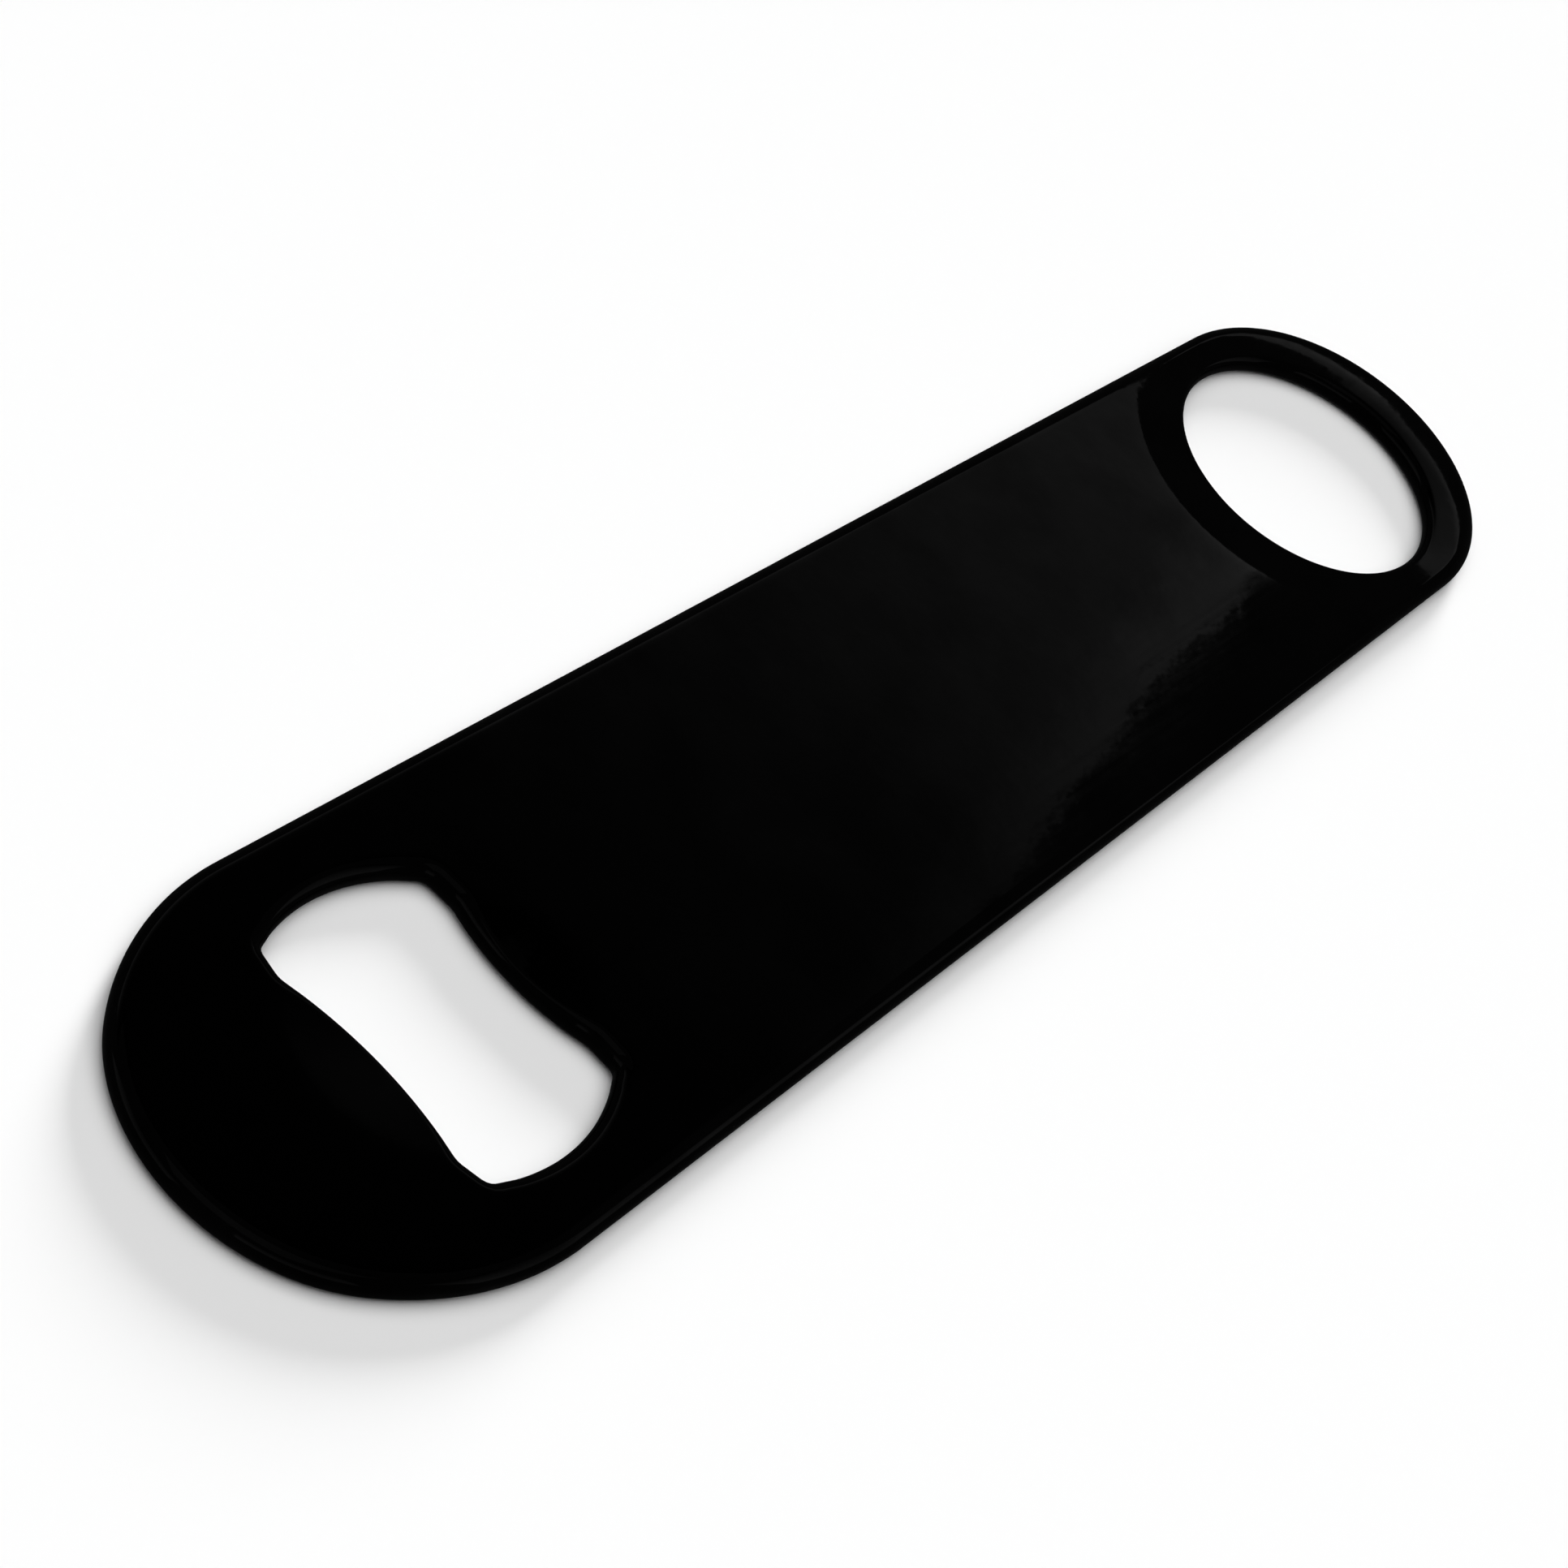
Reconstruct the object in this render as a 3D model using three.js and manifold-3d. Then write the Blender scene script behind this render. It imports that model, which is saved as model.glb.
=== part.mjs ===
// A flat bar blade: a crown-cap opener cut into its wide head, and a finger ring at its narrow end.
// It is a stamped stainless steel plate inside one continuous black coat.
// Millimetres. +X runs from the head to the ring, +Y across the blade and +Z up.
// The origin is the middle of the underside.
import * as THREE from 'three';
import { mergeVertices } from 'three/addons/utils/BufferGeometryUtils.js';
import Module from 'manifold-3d';

const degrees = THREE.MathUtils.degToRad;
const vector = (x, y) => new THREE.Vector2(x, y);

// Outline of the coated blade. Every x here is measured from the tip of the head.
const LENGTH = 178;
const HALF_WIDTH_AT_HEAD_TIP = 20.8;
const HALF_WIDTH_AT_RING_TIP = 16;
const NOSE_RADIUS = 17.8;
const FLANK_RADIUS = 29;
const RING_HOLE_RADIUS = 12.7;
const RING_HOLE_X = 159.3;

// Opener cut-out, alike on both sides of the centre line. Each lip bulges into the opening to its crest,
// ends at a kink and carries on to a corner, where the bowed end wall starts.
const NEAR_LIP = { crest: vector(23.0, 0), kink: vector(21.7, 9.6), corner: vector(22.3, 12.3) };
const FAR_LIP = { crest: vector(39.4, 0), kink: vector(40.6, 7.6), corner: vector(40.5, 10.4) };
const OPENER_HALF_WIDTH = 13.7;
const KINK_RADIUS = 2;
const CORNER_RADIUS = 1.2;

// Each lip is coined on top: a shallow cone slopes into the opening from an arc that starts here.
const NEAR_COIN_X = 16.0;
const FAR_COIN_X = 45.3;
const COIN_SLOPE = degrees(3);

// The top is also dished round the ring hole, a little further on the side of the head.
const DISH_X = 157.9;
const DISH_RADIUS = 16.7;
const DISH_SLOPE = degrees(3.5);

// Section: steel in the middle, with rounded edges, and the same coat all over it.
const STEEL_THICKNESS = 1.5;
const STEEL_EDGE_RADIUS = 0.65;
const COAT = 0.35;
const COAT_CLEARANCE = 0.02;
const COATED_THICKNESS = STEEL_THICKNESS + 2 * COAT;

// Bare spot in the middle of the near lip's wall, where the blade hung while it was coated.
const HANG_MARK = { width: 1.8, height: 0.6, z: 0.95, reach: 0.6 };

// Facets
const ARC_STEP = degrees(5);
const FILLET_STEPS = 3;
const EDGE_STEPS = 2;
const OPENER_STEPS = 8;
const DISH_STEPS = 60;
const MARK_STEPS = 12;

const wasm = await Module();
wasm.setup();

// ---- plan outline ----

function arc(centre, radius, start, end, steps = Math.ceil(Math.abs(end - start) / ARC_STEP)) {
  return new THREE.ArcCurve(centre.x, centre.y, radius, start, end, end < start).getPoints(steps);
}

function polar(radius, angle) {
  return vector(radius * Math.cos(angle), radius * Math.sin(angle));
}

// Adds the mirror image below the centre line. The first and last points lie on that line.
function closed(upper) {
  const lower = upper.slice(1, -1).map((point) => vector(point.x, -point.y));
  return [...upper, ...lower.reverse()];
}

// From the head's tip to the ring's tip: nose, flank, straight side and ring end, each running into the next.
function upperOutline() {
  const taper = Math.atan2(HALF_WIDTH_AT_HEAD_TIP - HALF_WIDTH_AT_RING_TIP, LENGTH);
  const sideDistance = HALF_WIDTH_AT_HEAD_TIP * Math.cos(taper);
  const sideNormal = Math.PI / 2 - taper;

  // The nose hands over to the flank where the flank's arc also touches the side.
  const step = FLANK_RADIUS - NOSE_RADIUS;
  const reach = (FLANK_RADIUS + NOSE_RADIUS * Math.sin(taper) - sideDistance) / step;
  const noseEnd = sideNormal + Math.acos(reach);
  const noseCentre = vector(NOSE_RADIUS, 0);
  const flankCentre = noseCentre.clone().sub(polar(step, noseEnd));

  // The ring's end is one arc that runs into both sides.
  const ringRadius = (sideDistance - LENGTH * Math.sin(taper)) / (1 - Math.sin(taper));
  const ringCentre = vector(LENGTH - ringRadius, 0);

  return [
    ...arc(noseCentre, NOSE_RADIUS, Math.PI, noseEnd).slice(0, -1),
    ...arc(flankCentre, FLANK_RADIUS, noseEnd, sideNormal),
    ...arc(ringCentre, ringRadius, sideNormal, 0),
  ];
}

// The arc from one point to another by way of a third.
function arcThrough(start, middle, end, steps) {
  const turn = 2 * middle.clone().sub(start).cross(end.clone().sub(start));
  const square = (point) => point.lengthSq();
  const centre = vector(
    square(start) * (middle.y - end.y) + square(middle) * (end.y - start.y) + square(end) * (start.y - middle.y),
    square(start) * (end.x - middle.x) + square(middle) * (start.x - end.x) + square(end) * (middle.x - start.x),
  ).divideScalar(turn);
  const from = start.clone().sub(centre).angle();
  let to = end.clone().sub(centre).angle();
  if (turn > 0 && to < from) to += 2 * Math.PI;
  if (turn < 0 && to > from) to -= 2 * Math.PI;
  return arc(centre, start.distanceTo(centre), from, to, steps);
}

// Rounds a corner that lies between two neighbours.
function fillet(before, corner, after, radius) {
  const toBefore = before.clone().sub(corner).normalize();
  const toAfter = after.clone().sub(corner).normalize();
  const tangent = radius / Math.tan(Math.acos(toBefore.dot(toAfter)) / 2);
  const start = corner.clone().addScaledVector(toBefore, tangent);
  const end = corner.clone().addScaledVector(toAfter, tangent);
  return new THREE.QuadraticBezierCurve(start, corner, end).getPoints(FILLET_STEPS);
}

// From a lip's crest to just short of its kink.
function lipEdge(lip) {
  const otherKink = vector(lip.kink.x, -lip.kink.y);
  return arcThrough(otherKink, lip.crest, lip.kink, OPENER_STEPS).slice(OPENER_STEPS / 2, -1);
}

// From the near lip's crest, round the end wall, to the far lip's crest.
function upperOpener() {
  const nearEdge = lipEdge(NEAR_LIP);
  const farEdge = lipEdge(FAR_LIP).reverse();
  const endCrest = vector((NEAR_LIP.corner.x + FAR_LIP.corner.x) / 2, OPENER_HALF_WIDTH);
  const endWall = arcThrough(NEAR_LIP.corner, endCrest, FAR_LIP.corner, OPENER_STEPS).slice(1, -1);
  return [
    ...nearEdge,
    ...fillet(nearEdge.at(-1), NEAR_LIP.kink, NEAR_LIP.corner, KINK_RADIUS),
    ...fillet(NEAR_LIP.kink, NEAR_LIP.corner, endWall[0], CORNER_RADIUS),
    ...endWall,
    ...fillet(endWall.at(-1), FAR_LIP.corner, FAR_LIP.kink, CORNER_RADIUS),
    ...fillet(FAR_LIP.corner, FAR_LIP.kink, farEdge[0], KINK_RADIUS),
    ...farEdge,
  ];
}

function bladeShape() {
  const ringHole = arc(vector(RING_HOLE_X, 0), RING_HOLE_RADIUS, 0, 2 * Math.PI).slice(0, -1);
  // The outline runs counter-clockwise, and the extrusion then turns the holes the right way itself.
  const shape = new THREE.Shape(closed(upperOutline()).reverse());
  shape.holes.push(new THREE.Path(closed(upperOpener())), new THREE.Path(ringHole));
  return shape;
}

// ---- solids ----

function toSolid(geometry) {
  geometry.deleteAttribute('normal');
  geometry.deleteAttribute('uv');
  const merged = mergeVertices(geometry);
  const corners = merged.index.array;
  const triVerts = [];
  for (let i = 0; i < corners.length; i += 3) {
    const [a, b, c] = corners.slice(i, i + 3);
    // A lathed profile that meets its axis leaves triangles of no area there.
    if (a !== b && b !== c && c !== a) triVerts.push(a, b, c);
  }
  return new wasm.Manifold(new wasm.Mesh({
    numProp: 3,
    vertProperties: new Float32Array(merged.attributes.position.array),
    triVerts: new Uint32Array(triVerts),
  }));
}

function toMesh(name, solid, material) {
  const { vertProperties, triVerts } = solid.getMesh();
  const geometry = new THREE.BufferGeometry();
  geometry.setAttribute('position', new THREE.BufferAttribute(vertProperties, 3));
  geometry.setIndex(new THREE.BufferAttribute(triVerts, 1));
  geometry.computeVertexNormals();
  const mesh = new THREE.Mesh(geometry, material);
  mesh.name = name;
  return mesh;
}

// A shallow cone that lowers the blade's top face inside this circle.
function dishCutter(centreX, radius, slope, inset) {
  const rise = Math.tan(slope);
  const reach = radius + STEEL_THICKNESS;
  const cone = new THREE.LatheGeometry([
    vector(0, -radius * rise),
    vector(reach, (reach - radius) * rise),
    vector(reach, COATED_THICKNESS),
    vector(0, COATED_THICKNESS),
  ], DISH_STEPS);
  cone.rotateX(Math.PI / 2);
  cone.translate(centreX - LENGTH / 2, 0, COATED_THICKNESS - inset);
  return toSolid(cone);
}

// The cone over one lip. Its circle passes through the lip's kinks and the coin's edge.
function coinCutter(lip, edgeX, inset) {
  const centreX = (lip.kink.lengthSq() - edgeX ** 2) / (2 * (lip.kink.x - edgeX));
  return dishCutter(centreX, Math.abs(centreX - edgeX), COIN_SLOPE, inset);
}

// The whole blade with its surface this far inside the coat's outer face.
function bladeSolid(shape, inset) {
  const rounding = STEEL_EDGE_RADIUS + COAT - inset;
  const thickness = COATED_THICKNESS - 2 * inset;
  const geometry = new THREE.ExtrudeGeometry(shape, {
    depth: thickness - 2 * rounding,
    bevelThickness: rounding,
    bevelSize: rounding,
    bevelOffset: -inset - rounding,
    bevelSegments: EDGE_STEPS,
  });
  geometry.translate(-LENGTH / 2, 0, inset + rounding);
  return toSolid(geometry)
    .subtract(coinCutter(NEAR_LIP, NEAR_COIN_X, inset))
    .subtract(coinCutter(FAR_LIP, FAR_COIN_X, inset))
    .subtract(dishCutter(DISH_X, DISH_RADIUS, DISH_SLOPE, inset));
}

function hangMark() {
  const mark = new THREE.CylinderGeometry(0.5, 0.5, 2 * HANG_MARK.reach, MARK_STEPS);
  mark.rotateZ(Math.PI / 2);
  mark.scale(1, HANG_MARK.width, HANG_MARK.height);
  mark.translate(NEAR_LIP.crest.x - LENGTH / 2, 0, HANG_MARK.z);
  return toSolid(mark);
}

const shape = bladeShape();
const steel = bladeSolid(shape, COAT);
const coat = bladeSolid(shape, 0)
  .subtract(bladeSolid(shape, COAT - COAT_CLEARANCE))
  .subtract(hangMark());

const brushedSteel = new THREE.MeshStandardMaterial({ color: 0xb7b9bb, roughness: 0.38, metalness: 1 });
const glossBlack = new THREE.MeshStandardMaterial({ color: 0x0a0a0b, roughness: 0.2, metalness: 0 });

const bottleOpener = new THREE.Group();
bottleOpener.add(toMesh('steel_blade', steel, brushedSteel));
bottleOpener.add(toMesh('black_coating', coat, glossBlack));

export default bottleOpener;
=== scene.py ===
"""Looks of the flat bar blade opener: one gloss black coat over a brushed steel plate.

Metres, in the CAD frame: +X runs from the head to the ring, +Y across the blade and +Z up.
Plan points are complex numbers, x + yj, because that keeps arcs and offsets short.
"""
import math

import bmesh
import bpy
import numpy as np
from mathutils import Matrix, Vector
from mathutils.geometry import delaunay_2d_cdt


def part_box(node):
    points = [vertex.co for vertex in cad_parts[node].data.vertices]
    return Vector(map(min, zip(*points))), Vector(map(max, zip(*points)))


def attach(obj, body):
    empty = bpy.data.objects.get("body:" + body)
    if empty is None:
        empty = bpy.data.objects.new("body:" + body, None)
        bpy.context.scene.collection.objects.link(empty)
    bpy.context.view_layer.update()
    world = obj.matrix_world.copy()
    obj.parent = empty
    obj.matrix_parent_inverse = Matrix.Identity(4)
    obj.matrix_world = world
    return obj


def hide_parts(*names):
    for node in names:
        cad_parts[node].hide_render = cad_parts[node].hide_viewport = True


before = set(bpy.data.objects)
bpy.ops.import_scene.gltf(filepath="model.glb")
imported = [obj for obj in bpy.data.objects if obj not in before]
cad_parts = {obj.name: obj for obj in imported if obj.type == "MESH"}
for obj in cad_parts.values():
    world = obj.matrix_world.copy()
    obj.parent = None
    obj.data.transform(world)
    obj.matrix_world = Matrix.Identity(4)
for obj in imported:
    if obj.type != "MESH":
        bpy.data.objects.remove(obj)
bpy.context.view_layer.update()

MM = 0.001

# Outline of the coated blade. Every x here is measured from the tip of the head.
coat_low, coat_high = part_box("black_coating")
LENGTH = coat_high.x - coat_low.x
THICKNESS = coat_high.z - coat_low.z
HALF_WIDTH_AT_HEAD_TIP = 20.8 * MM
HALF_WIDTH_AT_RING_TIP = 16 * MM
NOSE_RADIUS = 17.8 * MM
FLANK_RADIUS = 29 * MM
RING_HOLE_RADIUS = 12.7 * MM
RING_HOLE_X = 159.3 * MM

# Opener cut-out: each lip bulges to its crest, ends at a kink and carries on to a corner.
NEAR_LIP = {"crest": 23.0 * MM, "kink": (21.7 + 9.6j) * MM, "corner": (22.3 + 12.3j) * MM}
FAR_LIP = {"crest": 39.4 * MM, "kink": (40.6 + 7.6j) * MM, "corner": (40.5 + 10.4j) * MM}
OPENER_HALF_WIDTH = 13.7 * MM
KINK_RADIUS = 2 * MM
CORNER_RADIUS = 1.2 * MM
# What the fillets replace: this many points at a lip's end, and this share of the bowed end wall
LIP_END_POINTS = 20
WALL_END_SHARE = 1 / 8

# Lips coined on top from these places inwards, and the top dished round the ring hole.
NEAR_COIN_X = 16.0 * MM
FAR_COIN_X = 45.3 * MM
COIN_SLOPE = math.radians(3)
DISH_X = 157.9 * MM
DISH_RADIUS = 16.7 * MM
DISH_SLOPE = math.radians(3.5)
CREASE_SOFTNESS = 0.03 * MM

# Section of the coat's edges, and its inner wall round the steel
EDGE_WIDTH = 1.3 * MM
EDGE_HEIGHT = 1.0 * MM
EDGE_STEPS = 11
FLAT_RIM = 0.4 * MM
INNER_CLEARANCE = 0.02 * MM

# Bare spot in the middle of the near lip's wall
MARK_WIDTH = 1.8 * MM
MARK_HEIGHT = 0.6 * MM
MARK_Z = 0.95 * MM
MARK_REACH = 0.6 * MM
MARK_STEPS = 36
MARK_RAGGEDNESS = 0.08
MARK_SEED = 7

# Mesh density
FINE_STEP = 0.1 * MM
OUTLINE_STEP = 0.5 * MM
HOLE_STEP = 0.35 * MM
TOP_GRID = 0.7 * MM
UNDERSIDE_GRID = 1.6 * MM
# The grid's clearance from the rims, as a share of its spacing
GRID_GAP = 0.6
# For the triangulation: how far the sides bow, as a share of the half width, and its closest points in mm
SIDE_BOW = 0.1
CLOSEST_POINTS = 1e-6
# Corners of the steel's mesh this close together are one corner.
WELD_DISTANCE = 0.0001 * MM
# Distances to the contours are worked out for about this many points at a time.
POINTS_AT_ONCE = 400


# ---- plan outline ----

def polar(radius, angle):
    return radius * np.exp(1j * np.asarray(angle))


def unit(vector):
    return vector / abs(vector)


def arc(centre, radius, start, end):
    count = max(2, math.ceil(abs(end - start) * radius / FINE_STEP))
    return centre + polar(radius, np.linspace(start, end, count + 1))


def arc_through(start, middle, end):
    """The arc from one point to another by way of a third."""
    a, b, c = start, middle, end
    turn = 2 * ((b - a).real * (c - a).imag - (b - a).imag * (c - a).real)
    square = [abs(p) ** 2 for p in (a, b, c)]
    centre = 1j * (square[0] * (c - b) + square[1] * (a - c) + square[2] * (b - a)) / turn
    first = np.angle(a - centre)
    last = np.angle(c - centre)
    if turn > 0 and last < first:
        last += 2 * math.pi
    if turn < 0 and last > first:
        last -= 2 * math.pi
    return arc(centre, abs(a - centre), first, last)


def fillet(before, corner, after, radius):
    """Rounds a corner that lies between two neighbours, with a quadratic curve."""
    to_before = unit(before - corner)
    to_after = unit(after - corner)
    half_angle = math.acos((to_before * to_after.conjugate()).real) / 2
    tangent = radius / math.tan(half_angle)
    t = np.linspace(0, 1, math.ceil(2 * tangent / FINE_STEP) + 2)
    start = corner + tangent * to_before
    end = corner + tangent * to_after
    return (1 - t) ** 2 * start + 2 * t * (1 - t) * corner + t ** 2 * end


def mirrored(upper):
    """Closes an upper half, whose ends lie on the centre line, with its mirror image."""
    return np.concatenate((upper, upper[1:-1][::-1].conjugate()))


def upper_outline():
    """Nose, flank, straight side and ring end, each running into the next."""
    taper = math.atan2(HALF_WIDTH_AT_HEAD_TIP - HALF_WIDTH_AT_RING_TIP, LENGTH)
    side_distance = HALF_WIDTH_AT_HEAD_TIP * math.cos(taper)
    side_normal = math.pi / 2 - taper
    step = FLANK_RADIUS - NOSE_RADIUS
    reach = (FLANK_RADIUS + NOSE_RADIUS * math.sin(taper) - side_distance) / step
    nose_end = side_normal + math.acos(reach)
    flank_centre = NOSE_RADIUS - polar(step, nose_end)
    ring_radius = (side_distance - LENGTH * math.sin(taper)) / (1 - math.sin(taper))
    return np.concatenate((
        arc(NOSE_RADIUS, NOSE_RADIUS, math.pi, nose_end),
        arc(flank_centre, FLANK_RADIUS, nose_end, side_normal),
        arc(LENGTH - ring_radius, ring_radius, side_normal, 0),
    ))


def lip_edge(lip):
    """From a lip's crest to just short of its kink."""
    whole = arc_through(lip["kink"].conjugate(), lip["crest"] + 0j, lip["kink"])
    return whole[len(whole) // 2:-1]


def upper_opener():
    """From the near lip's crest, round the end wall, to the far lip's crest."""
    near_edge = lip_edge(NEAR_LIP)
    far_edge = lip_edge(FAR_LIP)[::-1]
    crest = (NEAR_LIP["corner"] + FAR_LIP["corner"]).real / 2 + 1j * OPENER_HALF_WIDTH
    end_wall = arc_through(NEAR_LIP["corner"], crest, FAR_LIP["corner"])
    wall_start = int(len(end_wall) * WALL_END_SHARE)
    return np.concatenate((
        near_edge[:-LIP_END_POINTS],
        fillet(near_edge[-LIP_END_POINTS], NEAR_LIP["kink"], NEAR_LIP["corner"], KINK_RADIUS),
        fillet(NEAR_LIP["kink"], NEAR_LIP["corner"], end_wall[wall_start], CORNER_RADIUS),
        end_wall[wall_start:-wall_start],
        fillet(end_wall[-wall_start], FAR_LIP["corner"], FAR_LIP["kink"], CORNER_RADIUS),
        fillet(FAR_LIP["corner"], FAR_LIP["kink"], far_edge[LIP_END_POINTS], KINK_RADIUS),
        far_edge[LIP_END_POINTS:],
    ))


def evenly_spaced(points, step):
    """The closed line through these points again, with equal steps."""
    closed = np.append(points, points[0])
    along = np.concatenate(([0], np.cumsum(abs(np.diff(closed)))))
    at = np.linspace(0, along[-1], round(along[-1] / step), endpoint=False)
    return np.interp(at, along, closed.real) + 1j * np.interp(at, along, closed.imag)


def plan_contours():
    """Outline, opener and ring hole in the CAD frame, each with the material on its left."""
    ring_hole = arc(RING_HOLE_X, RING_HOLE_RADIUS, 2 * math.pi, 0)[:-1]
    loops = (
        evenly_spaced(mirrored(upper_outline())[::-1], OUTLINE_STEP),
        evenly_spaced(mirrored(upper_opener()), HOLE_STEP),
        evenly_spaced(ring_hole, HOLE_STEP),
    )
    return [loop - LENGTH / 2 for loop in loops]


def inset(loop, distance):
    """The contour moved into the material by this much."""
    tangent = np.roll(loop, -1) - np.roll(loop, 1)
    return loop + 1j * tangent / abs(tangent) * distance


# ---- heights of the top face ----

def softly_lower(a, b):
    """The lower of two heights, with a soft crease between them."""
    gap = a - b
    return (a + b - np.sqrt(gap ** 2 + CREASE_SOFTNESS ** 2)) / 2


def cone_height(point, centre_x, radius, slope):
    """A cone that cuts the flat top along a circle and slopes down towards the circle's middle."""
    return THICKNESS - (radius - abs(point - centre_x)) * math.tan(slope)


def coin(lip, edge_x):
    """Centre and radius of the arc where a lip's coined slope starts."""
    kink = lip["kink"]
    centre = (abs(kink) ** 2 - edge_x ** 2) / (2 * (kink.real - edge_x))
    return centre - LENGTH / 2, abs(centre - edge_x)


def top_height(point, height):
    """Lowers the top face at the two coined lips and round the ring hole."""
    cones = (
        (*coin(NEAR_LIP, NEAR_COIN_X), COIN_SLOPE),
        (*coin(FAR_LIP, FAR_COIN_X), COIN_SLOPE),
        (DISH_X - LENGTH / 2, DISH_RADIUS, DISH_SLOPE),
    )
    for centre_x, radius, slope in cones:
        height = softly_lower(height, cone_height(point, centre_x, radius, slope))
    return height


# ---- the coat's mesh ----

def nearest(points, loops):
    """Distance from each point to the contours, negative outside the material."""
    contour = np.concatenate(loops)
    normal = np.concatenate([inset(loop, 1) - loop for loop in loops])
    distance = np.empty(len(points))
    for part in np.array_split(np.arange(len(points)), max(1, len(points) // POINTS_AT_ONCE)):
        apart = points[part, None] - contour
        closest = abs(apart).argmin(axis=1)
        towards = apart[np.arange(len(part)), closest]
        side = np.sign((towards * normal[closest].conjugate()).real)
        distance[part] = side * abs(towards)
    return distance


def grid_points(spacing, rims):
    """A grid of equilateral triangles over the face, clear of its rims."""
    x = np.arange(-LENGTH / 2, LENGTH / 2, spacing)
    y = np.arange(-HALF_WIDTH_AT_HEAD_TIP, HALF_WIDTH_AT_HEAD_TIP, spacing * math.sqrt(3) / 2)
    columns, rows = np.meshgrid(x, y)
    columns[1::2] += spacing / 2
    points = (columns + 1j * rows).ravel()
    return points[nearest(points, rims) > spacing * GRID_GAP]


def is_outside(points, faces, rim_count, edges, rims):
    """Triangles beyond the rims, with a rim's edge run backwards or a middle off the material."""
    on_rims = (faces < rim_count).all(axis=1)
    backwards = {(b, a) for a, b in edges}
    outside = np.array([
        on and not backwards.isdisjoint({(a, b), (b, c), (c, a)})
        for on, (a, b, c) in zip(on_rims, faces.tolist())
    ])
    outside[on_rims] |= nearest(points[faces[on_rims]].mean(axis=1), rims) < 0
    return outside


def fill(rims, spacing):
    """Triangles between the rims. The first points are the rims' own, in order."""
    points = np.concatenate((*rims, grid_points(spacing, rims)))
    edges = []
    start = 0
    for rim in rims:
        count = len(rim)
        edges += [(start + i, start + (i + 1) % count) for i in range(count)]
        start += count
    # The triangulation sees the straight sides bowed, so that no three of their points are in line.
    bowed = points.real + 1j * points.imag * (1 + SIDE_BOW * (1 - (points.real / LENGTH) ** 2))
    flat = [Vector((p.real, p.imag)) / MM for p in bowed]
    _, _, found_faces, origins, _, _ = delaunay_2d_cdt(flat, edges, [], 0, CLOSEST_POINTS)
    triangles = np.array([[origins[i][0] for i in face] for face in found_faces])
    return points, triangles[~is_outside(points, triangles, start, edges, rims)]


class Shell:
    """Collects points and faces of one closed surface."""

    def __init__(self):
        self.points = []
        self.faces = []

    def add(self, plan, height):
        first = len(self.points)
        self.points += [(p.real, p.imag, z) for p, z in zip(plan, height)]
        return np.arange(first, first + len(plan))

    def wall(self, lower, upper):
        """Quads between two rings of points, facing away from the material on their left."""
        ring = zip(lower, np.roll(lower, -1), np.roll(upper, -1), upper)
        self.faces += [tuple(int(i) for i in quad) for quad in ring]

    def sheet(self, indices, triangles):
        self.faces += [tuple(int(indices[i]) for i in face) for face in triangles]


def coat_outside(loops):
    """The coat's outer surface: a flat underside, rounded edges, and the shaped top."""
    shell = Shell()
    turns = np.linspace(0, math.pi / 2, EDGE_STEPS + 1)
    insets = np.append(EDGE_WIDTH * (1 - np.cos(turns)), EDGE_WIDTH + FLAT_RIM)
    rises = np.append(EDGE_HEIGHT * np.sin(turns), EDGE_HEIGHT)
    rims = [inset(loop, insets[-1]) for loop in loops]

    top_plan, top_faces = fill(rims, TOP_GRID)
    flat_top = np.full(len(top_plan), THICKNESS)
    top = shell.add(top_plan, top_height(top_plan, flat_top))
    under_plan, under_faces = fill(rims, UNDERSIDE_GRID)
    under = shell.add(under_plan, np.zeros(len(under_plan)))
    shell.sheet(top, top_faces)
    shell.sheet(under, under_faces[:, ::-1])

    start = 0
    for loop in loops:
        own = slice(start, start + len(loop))
        start += len(loop)
        rings = [under[own]]
        # Up the lower rounding from the underside, then up the upper one to the top face
        for distance, rise in zip(insets[-2::-1], rises[-2::-1]):
            rings.append(shell.add(inset(loop, distance), np.full(len(loop), EDGE_HEIGHT - rise)))
        for distance, rise in zip(insets[:-1], rises[:-1]):
            plan = inset(loop, distance)
            height = np.full(len(loop), THICKNESS - EDGE_HEIGHT + rise)
            rings.append(shell.add(plan, top_height(plan, height)))
        rings.append(top[own])
        for lower, upper in zip(rings, rings[1:]):
            shell.wall(lower, upper)
    return shell


def coat_inside(shell, steel):
    """The coat's inner wall, wrapped round the steel plate."""
    wrap = bmesh.new()
    wrap.from_mesh(steel.data)
    bmesh.ops.remove_doubles(wrap, verts=wrap.verts, dist=WELD_DISTANCE)
    wrap.normal_update()
    first = len(shell.points)
    shell.points += [tuple(v.co + v.normal * INNER_CLEARANCE) for v in wrap.verts]
    shell.faces += [tuple(first + v.index for v in reversed(face.verts)) for face in wrap.faces]
    wrap.free()


def mesh_object(name, points, faces):
    """A new object with this mesh, linked to the scene."""
    data = bpy.data.meshes.new(name)
    data.from_pydata([tuple(p) for p in points], [], faces)
    data.update()
    made = bpy.data.objects.new(name, data)
    bpy.context.scene.collection.objects.link(made)
    return made


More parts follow.
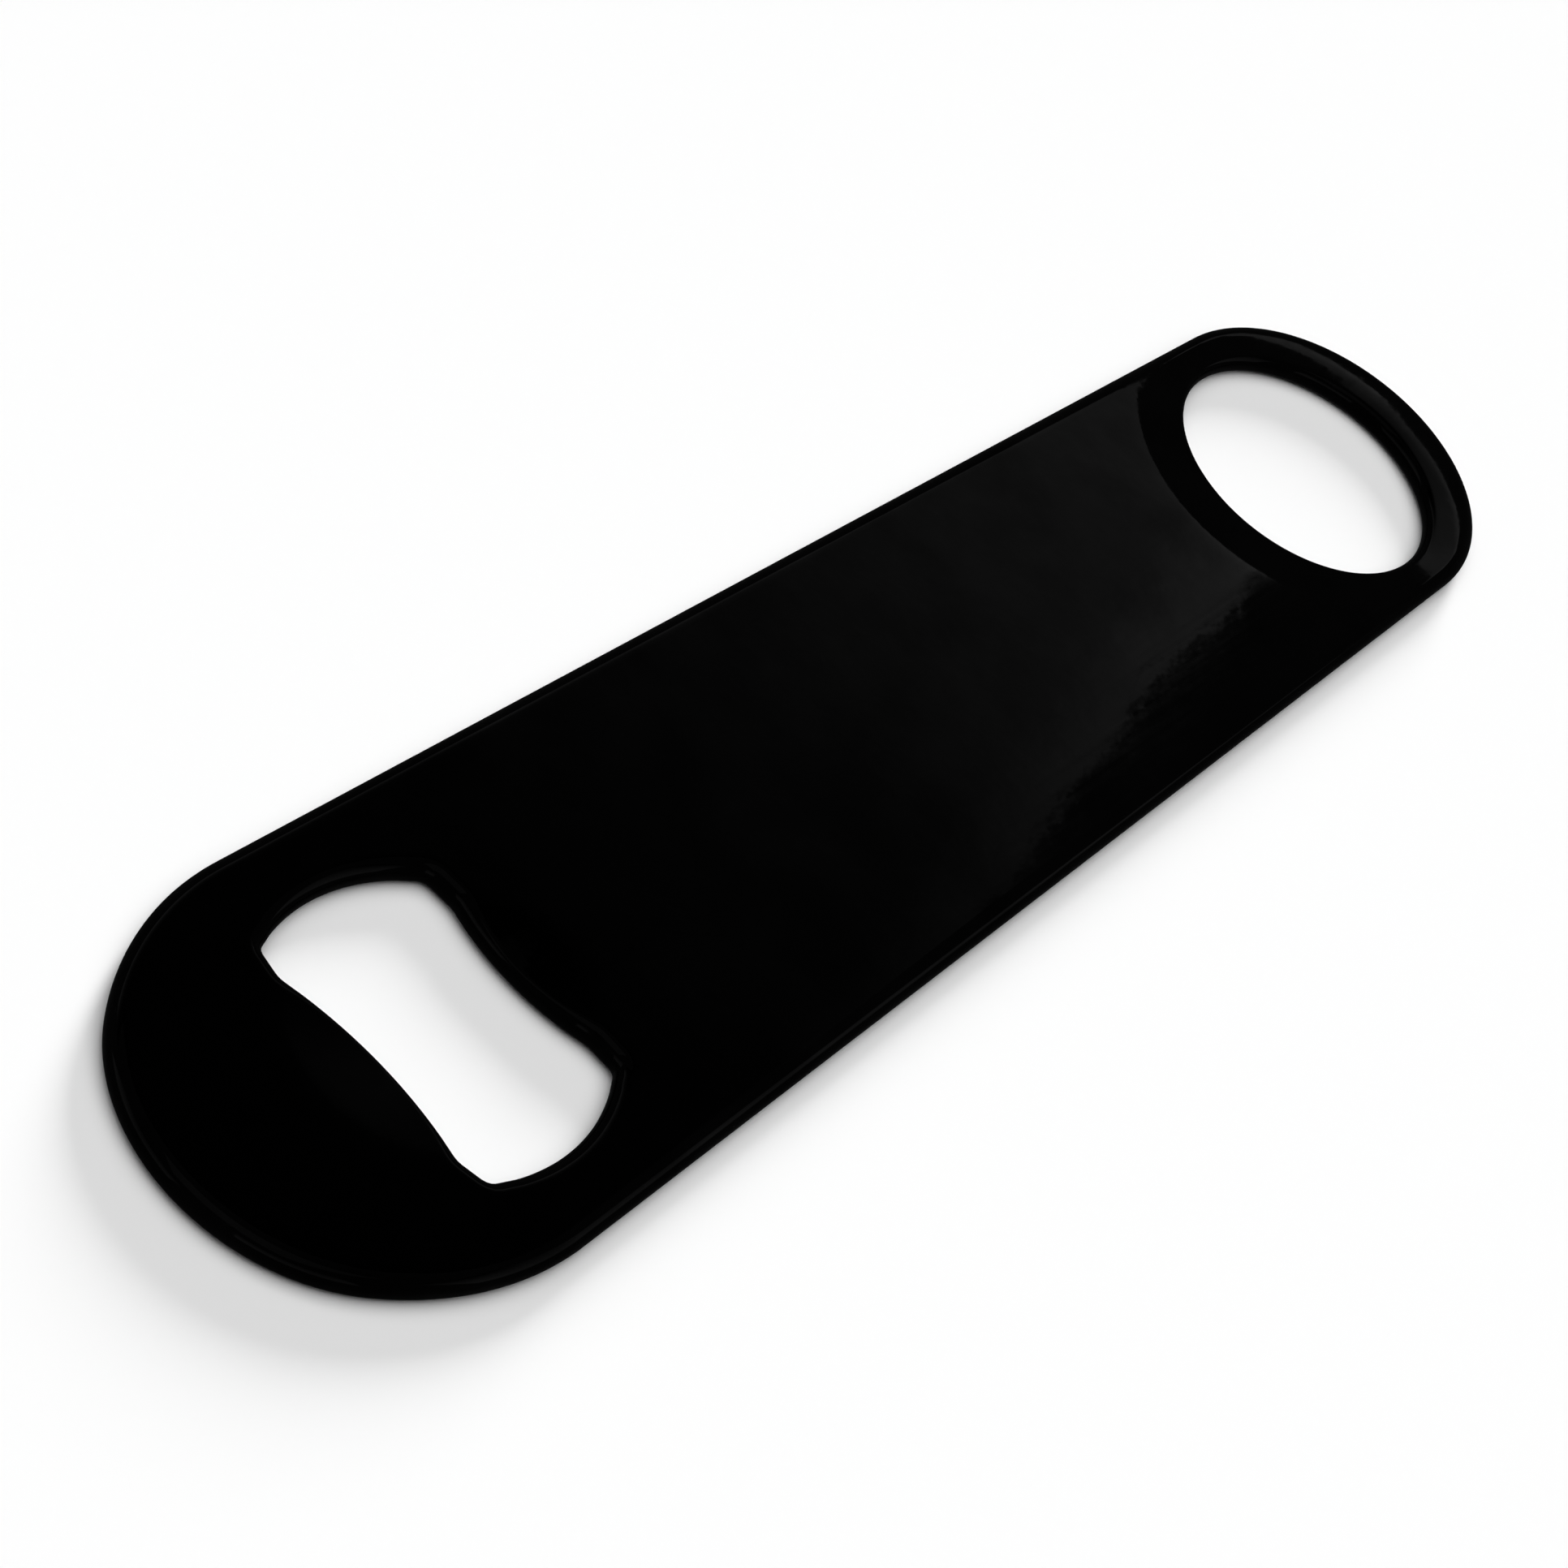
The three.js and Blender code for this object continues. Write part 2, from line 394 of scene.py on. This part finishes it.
def hang_mark_cutter():
    """A short ragged oval bar through the coat, in the middle of the near lip's wall."""
    rng = np.random.default_rng(MARK_SEED)
    turns = np.linspace(0, 2 * math.pi, MARK_STEPS, endpoint=False)
    swell = 1 + MARK_RAGGEDNESS * rng.uniform(-1, 1, MARK_STEPS)
    across = swell * np.cos(turns) * MARK_WIDTH / 2
    up = swell * np.sin(turns) * MARK_HEIGHT / 2 + MARK_Z
    wall_x = NEAR_LIP["crest"] - LENGTH / 2
    points = [(wall_x + side * MARK_REACH, y, z) for side in (-1, 1) for y, z in zip(across, up)]
    faces = [tuple(reversed(range(MARK_STEPS))), tuple(range(MARK_STEPS, 2 * MARK_STEPS))]
    for i in range(MARK_STEPS):
        j = (i + 1) % MARK_STEPS
        faces.append((i, j, MARK_STEPS + j, MARK_STEPS + i))
    return mesh_object("hang_mark_cutter", points, faces)


def cut(target, cutter):
    """Subtracts one object from another, and removes it."""
    modifier = target.modifiers.new("cut", "BOOLEAN")
    modifier.operation = "DIFFERENCE"
    modifier.solver = "EXACT"
    modifier.object = cutter
    graph = bpy.context.evaluated_depsgraph_get()
    result = bpy.data.meshes.new_from_object(target.evaluated_get(graph))
    target.modifiers.clear()
    target.data = result
    bpy.data.objects.remove(cutter)


def build_coat():
    """The coat, smooth on the outside. Its inner wall stays faceted like the steel it wraps."""
    shell = coat_outside(plan_contours())
    outside_count = len(shell.faces)
    coat_inside(shell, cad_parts["steel_blade"])
    coat = mesh_object("gloss_black_coat", shell.points, shell.faces)
    smooth = np.zeros(len(shell.faces), bool)
    smooth[:outside_count] = True
    coat.data.polygons.foreach_set("use_smooth", smooth)
    cut(coat, hang_mark_cutter())
    return coat


# ---- materials ----

# Most of a noise's values lie in its middle, so these parts of it are stretched to a full range.
NOISE_LOW = 0.3
NOISE_HIGH = 0.7
TINT_LOW = 0.35
TINT_HIGH = 0.65


def new_material(name):
    """A material with its nodes, its links and its main shader."""
    material = bpy.data.materials.new(name)
    material.use_nodes = True
    nodes = material.node_tree.nodes
    return material, nodes, material.node_tree.links, nodes["Principled BSDF"]


def noise(nodes, links, coordinates, scale, detail, stretch=(1, 1, 1)):
    """A noise with this many features to the metre."""
    mapping = nodes.new("ShaderNodeMapping")
    mapping.inputs["Scale"].default_value = stretch
    links.new(coordinates.outputs["Object"], mapping.inputs["Vector"])
    texture = nodes.new("ShaderNodeTexNoise")
    texture.inputs["Scale"].default_value = scale
    texture.inputs["Detail"].default_value = detail
    links.new(mapping.outputs["Vector"], texture.inputs["Vector"])
    return texture.outputs["Fac"]


def bump(nodes, links, height, depth, normal=None):
    """A normal tilted by a height this deep, on top of another normal if there is one."""
    node = nodes.new("ShaderNodeBump")
    node.inputs["Strength"].default_value = 1
    node.inputs["Distance"].default_value = depth
    links.new(height, node.inputs["Height"])
    if normal is not None:
        links.new(normal, node.inputs["Normal"])
    return node.outputs["Normal"]


def spread(nodes, links, value, low, high):
    """Maps the middle of a noise to a range."""
    node = nodes.new("ShaderNodeMapRange")
    node.inputs["From Min"].default_value = NOISE_LOW
    node.inputs["From Max"].default_value = NOISE_HIGH
    node.inputs["To Min"].default_value = low
    node.inputs["To Max"].default_value = high
    links.new(value, node.inputs["Value"])
    return node.outputs["Result"]


def total(nodes, links, first, second):
    node = nodes.new("ShaderNodeMath")
    node.operation = "ADD"
    links.new(first, node.inputs[0])
    links.new(second, node.inputs[1])
    return node.outputs["Value"]


def tint(nodes, links, value, dark, light):
    """A colour that drifts between two shades with a noise."""
    node = nodes.new("ShaderNodeValToRGB")
    first, last = node.color_ramp.elements
    first.position = TINT_LOW
    first.color = (*dark, 1)
    last.position = TINT_HIGH
    last.color = (*light, 1)
    links.new(value, node.inputs["Fac"])
    return node.outputs["Color"]


def gloss_black():
    """Smooth black polymer coat: orange peel, long soft waves, and gloss dulled by handling.

    The dulling is in soft patches, with faint rub marks along the blade.
    """
    material, nodes, links, shader = new_material("gloss_black_polymer")
    place = nodes.new("ShaderNodeTexCoord")
    waves = noise(nodes, links, place, scale=55, detail=1)
    peel = noise(nodes, links, place, scale=420, detail=2)
    patches = noise(nodes, links, place, scale=130, detail=4)
    rubs = noise(nodes, links, place, scale=1500, detail=3, stretch=(0.03, 1, 1))
    wavy = bump(nodes, links, waves, depth=0.05 * MM)
    peeled = bump(nodes, links, peel, depth=0.0036 * MM, normal=wavy)
    links.new(peeled, shader.inputs["Normal"])
    dulled = spread(nodes, links, patches, low=0.01, high=0.04)
    rubbed = spread(nodes, links, rubs, low=0, high=0.03)
    links.new(total(nodes, links, dulled, rubbed), shader.inputs["Roughness"])
    deep_black = (0.0003, 0.0003, 0.00034)
    worn_black = (0.0008, 0.0008, 0.00085)
    colour = tint(nodes, links, patches, deep_black, worn_black)
    links.new(colour, shader.inputs["Base Color"])
    sheen = spread(nodes, links, patches, low=0.23, high=0.38)
    links.new(sheen, shader.inputs["Specular IOR Level"])
    shader.inputs["IOR"].default_value = 1.5
    return material


def brushed_steel():
    """Stainless plate with a fine grain along the blade."""
    material, nodes, links, shader = new_material("brushed_stainless")
    place = nodes.new("ShaderNodeTexCoord")
    grain = noise(nodes, links, place, scale=2600, detail=4, stretch=(0.04, 1, 1))
    stain = noise(nodes, links, place, scale=90, detail=3)
    links.new(bump(nodes, links, grain, depth=0.006 * MM), shader.inputs["Normal"])
    links.new(spread(nodes, links, grain, low=0.26, high=0.42), shader.inputs["Roughness"])
    dark_steel = (0.5, 0.51, 0.52)
    light_steel = (0.64, 0.65, 0.66)
    colour = tint(nodes, links, stain, dark_steel, light_steel)
    links.new(colour, shader.inputs["Base Color"])
    shader.inputs["Metallic"].default_value = 1
    return material


def set_material(piece, material):
    """Puts a material on every slot of the object itself, and leaves its mesh alone."""
    if not piece.material_slots:
        piece.data.materials.append(None)
    for slot in piece.material_slots:
        slot.link = "OBJECT"
        slot.material = material


# ---- studio ----

CAMERA_TARGET = Vector((-10.27, 1.80, 0)) * MM
CAMERA_BEARING = math.radians(-165.06)
CAMERA_ELEVATION = math.radians(40.18)
CAMERA_ROLL = math.radians(35.0)
CAMERA_DISTANCE = 455.97 * MM
CAMERA_NEAR = 0.01
CAMERA_FAR = 100
SENSOR = 36
FOCAL_RATIO = 3.584

FLOOR_HALF_SIZE = 40
FLOOR_GAP = 0.01 * MM
FLOOR_GREY = (0.86, 0.86, 0.86, 1)
AMBIENT_STRENGTH = 0.02

# Soft panels stand on an arc round the blade. Each stop is an elevation in degrees and the glow there,
# as a share of the panel's strength. The key panel fades upwards, so its reflection fades along the blade.
PANEL_DISTANCE = 1.5
PANEL_POSTS = 12
KEY_STRENGTH = 0.34
KEY_STOPS = (
    (33, 1.0),
    (34, 0.9),
    (35, 0.67),
    (37.2, 0.48),
    (38.6, 0.34),
    (40.1, 0.2),
    (41.7, 0.13),
    (44.3, 0.05),
    (50, 0.0),
)
SIDE_STRENGTH = 0.13
SIDE_STOPS = ((20, 0.0), (28, 1.0), (45, 0.6), (55, 0.0))
# Places across a panel, as shares of its extent in Y, and the glow there. The key panel has a bright edge.
KEY_EDGE_GLOW = ((0.0, 1.0), (0.012, 0.85), (0.03, 0.52), (1.0, 0.48))
EVEN_GLOW = ((0.0, 1.0), (1.0, 1.0))


def compass(azimuth, elevation):
    """Unit vector at an azimuth from +X towards +Y, and an elevation."""
    flat = math.cos(elevation)
    return Vector((flat * math.cos(azimuth), flat * math.sin(azimuth), math.sin(elevation)))


def add_camera():
    """The camera looks along the blade from beyond the head, rolled to one side."""
    back = compass(CAMERA_BEARING, CAMERA_ELEVATION)
    level = compass(CAMERA_BEARING + math.pi / 2, 0)
    upright = back.cross(level)
    right = level * math.cos(CAMERA_ROLL) + upright * math.sin(CAMERA_ROLL)
    up = back.cross(right)
    data = bpy.data.cameras.new("camera")
    data.sensor_width = SENSOR
    data.lens = SENSOR * FOCAL_RATIO
    data.clip_start = CAMERA_NEAR
    data.clip_end = CAMERA_FAR
    camera = bpy.data.objects.new("camera", data)
    camera.matrix_world = Matrix((right, up, back)).transposed().to_4x4()
    camera.location = CAMERA_TARGET + back * CAMERA_DISTANCE
    bpy.context.scene.collection.objects.link(camera)
    bpy.context.scene.camera = camera


def add_floor():
    """A matt pale floor just under the blade. The black coat doesn't mirror it."""
    level = coat_low.z - FLOOR_GAP
    corners = [
        (-FLOOR_HALF_SIZE, -FLOOR_HALF_SIZE, level),
        (FLOOR_HALF_SIZE, -FLOOR_HALF_SIZE, level),
        (FLOOR_HALF_SIZE, FLOOR_HALF_SIZE, level),
        (-FLOOR_HALF_SIZE, FLOOR_HALF_SIZE, level),
    ]
    floor = mesh_object("floor", corners, [(0, 1, 2, 3)])
    material, nodes, links, shader = new_material("pale_floor")
    shader.inputs["Base Color"].default_value = FLOOR_GREY
    shader.inputs["Roughness"].default_value = 0.9
    shader.inputs["Specular IOR Level"].default_value = 0
    set_material(floor, material)
    floor.visible_glossy = False
    return floor


def add_floor_light(name, floor_only, azimuth, elevation, strength, softness):
    """A far, wide light that falls on the floor only. The blade still throws its shadow there."""
    data = bpy.data.lights.new(name, "SUN")
    data.energy = strength
    data.angle = math.radians(softness)
    light = bpy.data.objects.new(name, data)
    towards_light = compass(math.radians(azimuth), math.radians(elevation))
    light.rotation_euler = towards_light.to_track_quat("Z", "Y").to_euler()
    bpy.context.scene.collection.objects.link(light)
    light.light_linking.receiver_collection = floor_only


def ramp(nodes, links, value, stops):
    """A grey that follows the value through these stops."""
    node = nodes.new("ShaderNodeValToRGB")
    elements = node.color_ramp.elements
    while len(elements) < len(stops):
        elements.new(1)
    for element, (position, grey) in zip(elements, stops):
        element.position = position
        element.color = (grey, grey, grey, 1)
    links.new(value, node.inputs["Fac"])
    return node.outputs["Color"]


def panel_glow(name, by_height, by_width, strength):
    """A glow that varies up and across a panel. Both run from 0 to 1 over the panel's own box."""
    material = bpy.data.materials.new(name)
    material.use_nodes = True
    nodes = material.node_tree.nodes
    links = material.node_tree.links
    nodes.clear()
    output = nodes.new("ShaderNodeOutputMaterial")
    glow = nodes.new("ShaderNodeEmission")
    place = nodes.new("ShaderNodeTexCoord")
    split = nodes.new("ShaderNodeSeparateXYZ")
    product = nodes.new("ShaderNodeMix")
    product.data_type = "RGBA"
    product.blend_type = "MULTIPLY"
    product.inputs["Factor"].default_value = 1
    glow.inputs["Strength"].default_value = strength
    links.new(place.outputs["Generated"], split.inputs["Vector"])
    links.new(ramp(nodes, links, split.outputs["Z"], by_height), product.inputs["A"])
    links.new(ramp(nodes, links, split.outputs["Y"], by_width), product.inputs["B"])
    links.new(product.outputs["Result"], glow.inputs["Color"])
    links.new(glow.outputs["Emission"], output.inputs["Surface"])
    return material


def panel_height(elevation):
    return PANEL_DISTANCE * math.tan(math.radians(elevation))


def add_panel(name, first, last, stops, strength, by_width=EVEN_GLOW):
    """An upright soft panel between two azimuths, as tall as its stops."""
    low = panel_height(stops[0][0])
    high = panel_height(stops[-1][0])
    bearings = np.linspace(math.radians(first), math.radians(last), PANEL_POSTS)
    posts = [(PANEL_DISTANCE * math.cos(a), PANEL_DISTANCE * math.sin(a)) for a in bearings]
    points = [(x, y, z) for z in (low, high) for x, y in posts]
    faces = [(i, i + 1, PANEL_POSTS + i + 1, PANEL_POSTS + i) for i in range(PANEL_POSTS - 1)]
    panel = mesh_object(name, points, faces)
    by_height = [((panel_height(elevation) - low) / (high - low), share) for elevation, share in stops]
    set_material(panel, panel_glow(name + "_glow", by_height, by_width, strength))
    panel.visible_camera = False
    panel.visible_shadow = False


def add_overhead_box(size, height, power):
    """A faint square soft box straight above, facing down."""
    data = bpy.data.lights.new("overhead", "AREA")
    data.shape = "SQUARE"
    data.size = size
    data.energy = power
    light = bpy.data.objects.new("overhead", data)
    light.location = (0, 0, height)
    bpy.context.scene.collection.objects.link(light)


def add_studio():
    """Lights and floor. All angles are in degrees, with azimuth from +X towards +Y."""
    scene = bpy.context.scene
    scene.view_settings.view_transform = "Standard"
    world = bpy.data.worlds.new("studio")
    world.use_nodes = True
    background = world.node_tree.nodes["Background"]
    background.inputs["Color"].default_value = (1, 1, 1, 1)
    background.inputs["Strength"].default_value = AMBIENT_STRENGTH
    scene.world = world

    floor = add_floor()
    floor_only = bpy.data.collections.new("floor_only")
    floor_only.objects.link(floor)
    add_floor_light("floor_overhead", floor_only, azimuth=0, elevation=90, strength=3.0, softness=100)
    add_floor_light("floor_back", floor_only, azimuth=19, elevation=11.5, strength=5.4, softness=14)

    add_panel("key_panel", 11.1, 75, KEY_STOPS, KEY_STRENGTH, KEY_EDGE_GLOW)
    add_panel("left_panel", 100, 160, SIDE_STOPS, SIDE_STRENGTH)
    add_panel("front_panel", 195, 250, SIDE_STOPS, SIDE_STRENGTH)
    add_panel("right_panel", 285, 335, SIDE_STOPS, SIDE_STRENGTH)
    add_overhead_box(size=1.0, height=1.6, power=0.15)


add_camera()
coat = build_coat()
set_material(coat, gloss_black())
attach(coat, "root")
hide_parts("black_coating")
set_material(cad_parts["steel_blade"], brushed_steel())
add_studio()
